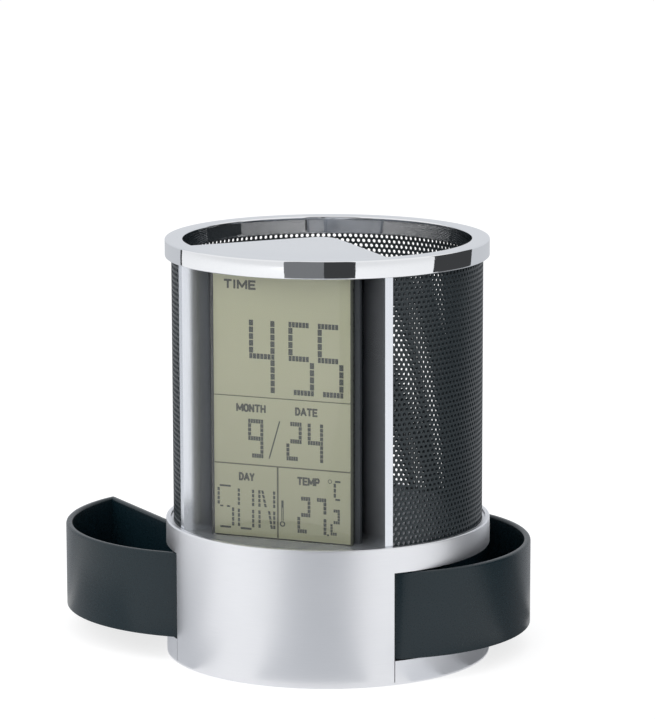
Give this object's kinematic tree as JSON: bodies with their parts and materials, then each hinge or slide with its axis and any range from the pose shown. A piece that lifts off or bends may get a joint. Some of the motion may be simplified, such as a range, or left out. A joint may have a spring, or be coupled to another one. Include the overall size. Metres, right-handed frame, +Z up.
{
  "type": "pen holder clock",
  "caption": "Round desk pen holder with a black perforated cup, a chrome rim, a tall digital display in a mirrored recess, and a silver base with swing-out drawers.",
  "frame": {"origin": "on the cup's axis, in the plane of the table under the foot ring", "axes": "+Z up along the cup's axis, -Y out of the display towards the viewer, +X to the viewer's right"},
  "size_m": [0.1476, 0.1006, 0.125],
  "materials": {
    "foot_rubber": "matt foam rubber",
    "satin_silver": "satin silver paint with a fine brushed grain",
    "screw_steel": "zinc plated",
    "pin_steel": "ground",
    "drawer_black": "satin moulded",
    "mesh_black": "black powder coat on perforated sheet",
    "ring_chrome": "polished chrome plating",
    "panel_chrome": "polished chrome plating",
    "clear_lens": "clear polished",
    "display_film": "grey-green display film on glass",
    "connector_rubber": "soft striped contact rubber",
    "case_black": "fine moulded texture",
    "board_green": "solder resist",
    "chip_resin": "cast resin",
    "crystal_can": "bright drawn can",
    "buzzer_brass": "rolled",
    "sensor_resin": "dipped resin",
    "button_black": "satin moulded",
    "switch_metal": "pressed",
    "cell_jacket": "plain satin jacket",
    "contact_metal": "nickel plated",
    "lead_red": "insulated wire",
    "lead_grey": "insulated wire bundle"
  },
  "bodies": {
    "stand": {"foot_ring": "foot_rubber", "base_tray": "satin_silver", "base_shell": "satin_silver", "base_screws": "screw_steel", "drawer_pins": "pin_steel", "mesh_wall": "mesh_black", "top_ring": "ring_chrome", "left_side_panel": "panel_chrome", "right_side_panel": "panel_chrome", "display_lens": "clear_lens", "display_glass": "display_film", "rubber_connectors": "connector_rubber", "clock_case": "case_black", "circuit_board": "board_green", "board_screws": "screw_steel", "control_chip": "chip_resin", "quartz_crystal": "crystal_can", "buzzer_disc": "buzzer_brass", "temperature_sensor": "sensor_resin", "case_screws": "screw_steel", "key_board": "board_green", "key_switches": "switch_metal", "batteries": "cell_jacket", "front_contacts": "contact_metal", "rear_contact": "contact_metal", "battery_leads": "lead_red", "key_lead": "lead_grey"},
    "left_drawer": {"left_drawer": "drawer_black"},
    "right_drawer": {"right_drawer": "drawer_black"},
    "battery_door": {"battery_door": "satin_silver"},
    "mode_button": {"mode_button": "button_black"},
    "set_button": {"set_button": "button_black"},
    "up_button": {"up_button": "button_black"},
    "down_button": {"down_button": "button_black"}
  },
  "joints": [
    {"name": "left_drawer_hinge", "type": "hinge", "parent": "stand", "child": "left_drawer", "pos_m": [-0.03351, -0.02751, 0.0203], "axis": [0, 0, 1], "range_deg": [-60.5, 7.5]},
    {"name": "right_drawer_hinge", "type": "hinge", "parent": "stand", "child": "right_drawer", "pos_m": [0.03351, -0.02751, 0.0203], "axis": [0, 0, -1], "range_deg": [-18, 50]},
    {"name": "battery_door_slide", "type": "slide", "parent": "stand", "child": "battery_door", "axis": [0, 1, 0], "range_m": [0, 0.005]},
    {"name": "mode_button_press", "type": "slide", "parent": "stand", "child": "mode_button", "axis": [0, -1, 0], "range_m": [0, 0.0006], "stiffness_N_per_m": 400},
    {"name": "set_button_press", "type": "slide", "parent": "stand", "child": "set_button", "axis": [0, -1, 0], "range_m": [0, 0.0006], "stiffness_N_per_m": 400},
    {"name": "up_button_press", "type": "slide", "parent": "stand", "child": "up_button", "axis": [0, -1, 0], "range_m": [0, 0.0006], "stiffness_N_per_m": 400},
    {"name": "down_button_press", "type": "slide", "parent": "stand", "child": "down_button", "axis": [0, -1, 0], "range_m": [0, 0.0006], "stiffness_N_per_m": 400}
  ]
}
